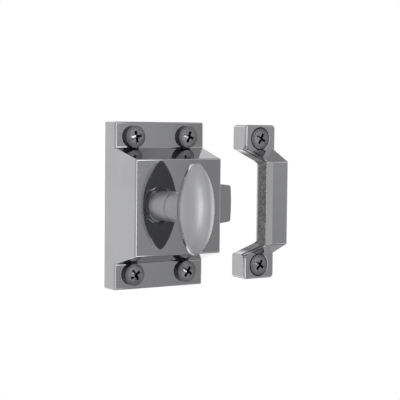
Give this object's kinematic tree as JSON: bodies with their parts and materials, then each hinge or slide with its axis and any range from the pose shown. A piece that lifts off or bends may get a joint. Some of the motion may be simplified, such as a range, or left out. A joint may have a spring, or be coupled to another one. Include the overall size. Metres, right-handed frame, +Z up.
{
  "type": "surface cupboard catch",
  "caption": "Surface-mounted turn catch: a cast case with an oval turn knob and a spring bolt, and a separate bridge keeper.",
  "frame": {"origin": "centre of the case's back face and of its screw pattern, in the plane of the door it is screwed to", "axes": "X to the right, towards the keeper, Y into the door, Z up; the knob turns about +Y and the bolt is drawn back along -X"},
  "size_m": [0.0631, 0.0382, 0.054],
  "materials": {
    "polished_chrome": "polished chrome plate on a casting",
    "screw_steel": "darkened plated steel with a satin sheen",
    "plain_steel": "zinc-plated steel, satin",
    "spring_steel": "oiled spring wire"
  },
  "bodies": {
    "root": {"case": "polished_chrome", "back_plate": "plain_steel", "back_plate_screw_upper": "plain_steel", "back_plate_screw_lower": "plain_steel", "case_screw_upper_left": "screw_steel", "case_screw_upper_right": "screw_steel", "case_screw_lower_left": "screw_steel", "case_screw_lower_right": "screw_steel", "keeper": "polished_chrome", "keeper_screw_upper": "screw_steel", "keeper_screw_lower": "screw_steel", "bolt_spring": "spring_steel"},
    "knob": {"knob": "polished_chrome", "spindle": "plain_steel", "cam": "plain_steel", "cam_washer": "plain_steel", "cam_screw": "plain_steel"},
    "bolt": {"bolt": "polished_chrome", "bolt_guide_pin": "plain_steel"}
  },
  "joints": [
    {"name": "knob_turn", "type": "hinge", "parent": "root", "child": "knob", "pos_m": [-0.0008, 0, 0], "axis": [0, 1, 0], "range_deg": [0, 80]},
    {"name": "bolt_slide", "type": "slide", "parent": "root", "child": "bolt", "axis": [-1, 0, 0], "range_m": [0, 0.00768], "stiffness_N_per_m": 300, "springref_m": -0.008, "deforming": ["bolt_spring"]}
  ],
  "couplings": [
    {"joint": "knob_turn", "follows": "bolt_slide", "rad_per_m": 181.82}
  ]
}
